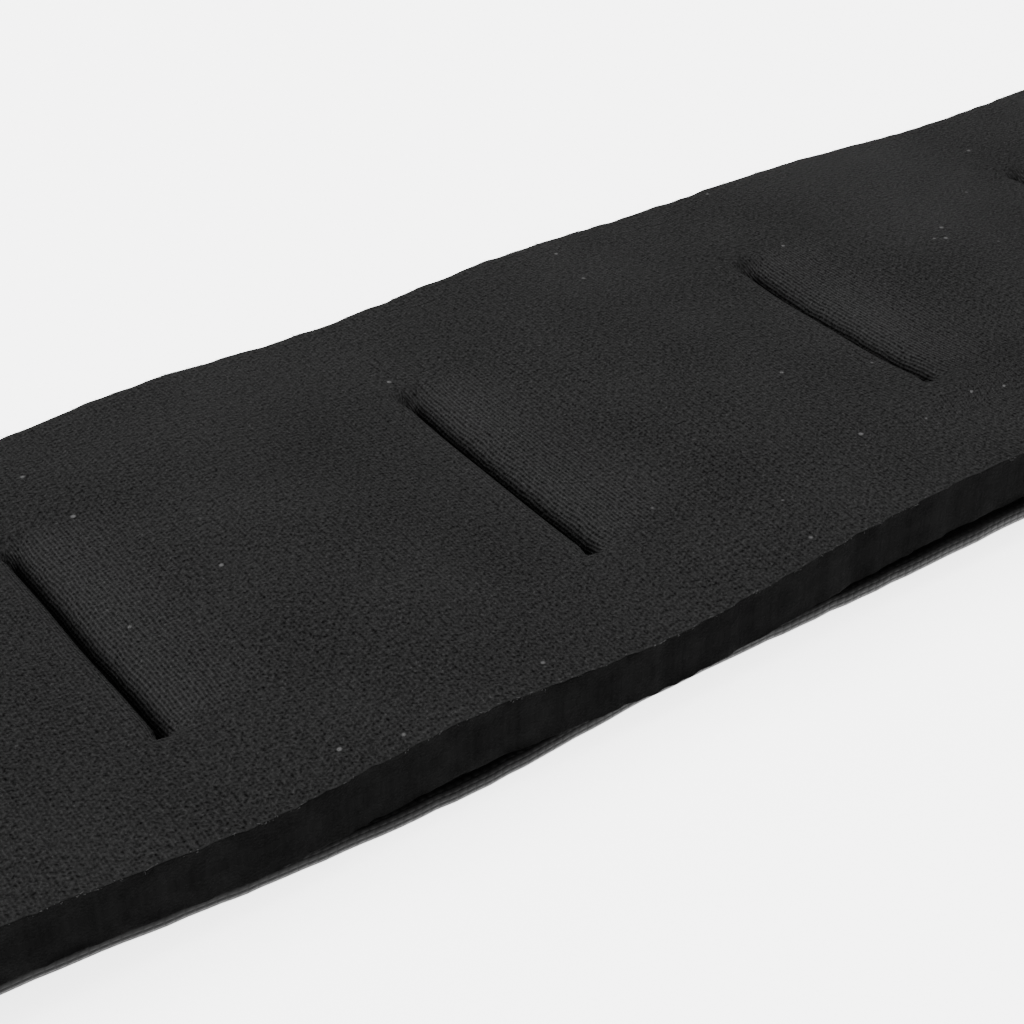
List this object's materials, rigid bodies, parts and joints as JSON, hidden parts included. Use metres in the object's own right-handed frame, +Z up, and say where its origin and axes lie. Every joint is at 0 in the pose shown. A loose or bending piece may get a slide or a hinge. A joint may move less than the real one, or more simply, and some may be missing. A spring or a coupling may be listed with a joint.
{
  "type": "dive weight belt",
  "caption": "Padded webbing weight belt with a soft liner sewn on by cross tacks, loops on its outer face, and a quick-release cam buckle.",
  "frame": {"origin": "on the surface that the belt lies on, under the middle of its length", "axes": "+X along the belt from the buckle to the tail, +Y across it, +Z up, out of the liner's soft face"},
  "size_m": [1.218, 0.066, 0.0159],
  "materials": {
    "neoprene_liner": "matte ribbed jersey over foam",
    "nylon_webbing": "tight woven nylon, slight gloss",
    "bonded_thread": "bonded thread, satin",
    "elastic_band": "ribbed elastic",
    "stainless_steel": "brushed and tumbled",
    "pin_steel": "turned, polished head"
  },
  "bodies": {
    "belt_left_5": {"liner_left_5": "neoprene_liner", "webbing_left_5": "nylon_webbing", "loops_left_5": "nylon_webbing", "tacks_left_5": "bonded_thread"},
    "belt_left_4": {"liner_left_4": "neoprene_liner", "webbing_left_4": "nylon_webbing", "loops_left_4": "nylon_webbing", "tacks_left_4": "bonded_thread"},
    "belt_left_3": {"liner_left_3": "neoprene_liner", "webbing_left_3": "nylon_webbing", "loops_left_3": "nylon_webbing", "tacks_left_3": "bonded_thread"},
    "belt_left_2": {"liner_left_2": "neoprene_liner", "webbing_left_2": "nylon_webbing", "loops_left_2": "nylon_webbing", "tacks_left_2": "bonded_thread"},
    "belt_left_1": {"liner_left_1": "neoprene_liner", "webbing_left_1": "nylon_webbing", "loops_left_1": "nylon_webbing", "tacks_left_1": "bonded_thread"},
    "belt_mid": {"liner_mid": "neoprene_liner", "webbing_mid": "nylon_webbing", "loops_mid": "nylon_webbing", "tacks_mid": "bonded_thread"},
    "belt_right_1": {"liner_right_1": "neoprene_liner", "webbing_right_1": "nylon_webbing", "loops_right_1": "nylon_webbing", "tacks_right_1": "bonded_thread"},
    "belt_right_2": {"liner_right_2": "neoprene_liner", "webbing_right_2": "nylon_webbing", "loops_right_2": "nylon_webbing", "tacks_right_2": "bonded_thread"},
    "belt_right_3": {"liner_right_3": "neoprene_liner", "webbing_right_3": "nylon_webbing", "loops_right_3": "nylon_webbing", "tacks_right_3": "bonded_thread"},
    "belt_right_4": {"liner_right_4": "neoprene_liner", "webbing_right_4": "nylon_webbing", "loops_right_4": "nylon_webbing", "tacks_right_4": "bonded_thread"},
    "belt_right_5": {"liner_right_5": "neoprene_liner", "webbing_right_5": "nylon_webbing", "loops_right_5": "nylon_webbing", "tacks_right_5": "bonded_thread"},
    "buckle_end": {"webbing_buckle_end": "nylon_webbing", "fold_stitching": "bonded_thread"},
    "buckle": {"buckle_frame": "stainless_steel", "buckle_pin": "pin_steel"},
    "lever": {"buckle_lever": "stainless_steel"},
    "tail_1": {"webbing_tail_1": "nylon_webbing"},
    "tail_2": {"webbing_tail_2": "nylon_webbing"},
    "tail_3": {"webbing_tail_3": "nylon_webbing"},
    "keeper": {"tail_keeper": "elastic_band"}
  },
  "joints": [
    {"name": "bend_right_1", "type": "hinge", "parent": "belt_mid", "child": "belt_right_1", "pos_m": [-0.0413, 0, 0.003], "axis": [0, -1, 0], "range_deg": [0, 26]},
    {"name": "bend_right_2", "type": "hinge", "parent": "belt_right_1", "child": "belt_right_2", "pos_m": [0.0349, 0, 0.003], "axis": [0, -1, 0], "range_deg": [0, 26]},
    {"name": "bend_right_3", "type": "hinge", "parent": "belt_right_2", "child": "belt_right_3", "pos_m": [0.1111, 0, 0.003], "axis": [0, -1, 0], "range_deg": [0, 26]},
    {"name": "bend_right_4", "type": "hinge", "parent": "belt_right_3", "child": "belt_right_4", "pos_m": [0.1873, 0, 0.003], "axis": [0, -1, 0], "range_deg": [0, 26]},
    {"name": "bend_right_5", "type": "hinge", "parent": "belt_right_4", "child": "belt_right_5", "pos_m": [0.2635, 0, 0.003], "axis": [0, -1, 0], "range_deg": [0, 26]},
    {"name": "bend_left_1", "type": "hinge", "parent": "belt_mid", "child": "belt_left_1", "pos_m": [-0.1175, 0, 0.003], "axis": [0, 1, 0], "range_deg": [0, 26]},
    {"name": "bend_left_2", "type": "hinge", "parent": "belt_left_1", "child": "belt_left_2", "pos_m": [-0.1937, 0, 0.003], "axis": [0, 1, 0], "range_deg": [0, 26]},
    {"name": "bend_left_3", "type": "hinge", "parent": "belt_left_2", "child": "belt_left_3", "pos_m": [-0.2699, 0, 0.003], "axis": [0, 1, 0], "range_deg": [0, 26]},
    {"name": "bend_left_4", "type": "hinge", "parent": "belt_left_3", "child": "belt_left_4", "pos_m": [-0.3461, 0, 0.003], "axis": [0, 1, 0], "range_deg": [0, 26]},
    {"name": "bend_left_5", "type": "hinge", "parent": "belt_left_4", "child": "belt_left_5", "pos_m": [-0.4223, 0, 0.003], "axis": [0, 1, 0], "range_deg": [0, 26]},
    {"name": "bend_buckle_end", "type": "hinge", "parent": "belt_left_5", "child": "buckle_end", "pos_m": [-0.483, 0, 0.003], "axis": [0, 1, 0], "range_deg": [0, 20]},
    {"name": "buckle_swivel", "type": "hinge", "parent": "buckle_end", "child": "buckle", "pos_m": [-0.551, 0, 0.0118], "axis": [0, 1, 0], "range_deg": [0, 80]},
    {"name": "lever_open", "type": "hinge", "parent": "buckle", "child": "lever", "pos_m": [-0.563, 0, 0.0045], "axis": [0, -1, 0], "range_deg": [0, 140]},
    {"name": "bend_tail_1", "type": "hinge", "parent": "belt_right_5", "child": "tail_1", "pos_m": [0.321, 0, 0.003], "axis": [0, -1, 0], "range_deg": [0, 10]},
    {"name": "bend_tail_2", "type": "hinge", "parent": "tail_1", "child": "tail_2", "pos_m": [0.399, 0, 0.003], "axis": [0, -1, 0], "range_deg": [0, 10]},
    {"name": "bend_tail_3", "type": "hinge", "parent": "tail_2", "child": "tail_3", "pos_m": [0.494, 0, 0.0008], "axis": [0, -1, 0], "range_deg": [0, 10]},
    {"name": "keeper_slide", "type": "slide", "parent": "tail_1", "child": "keeper", "axis": [1, 0, 0], "range_m": [0, 0.035]}
  ]
}
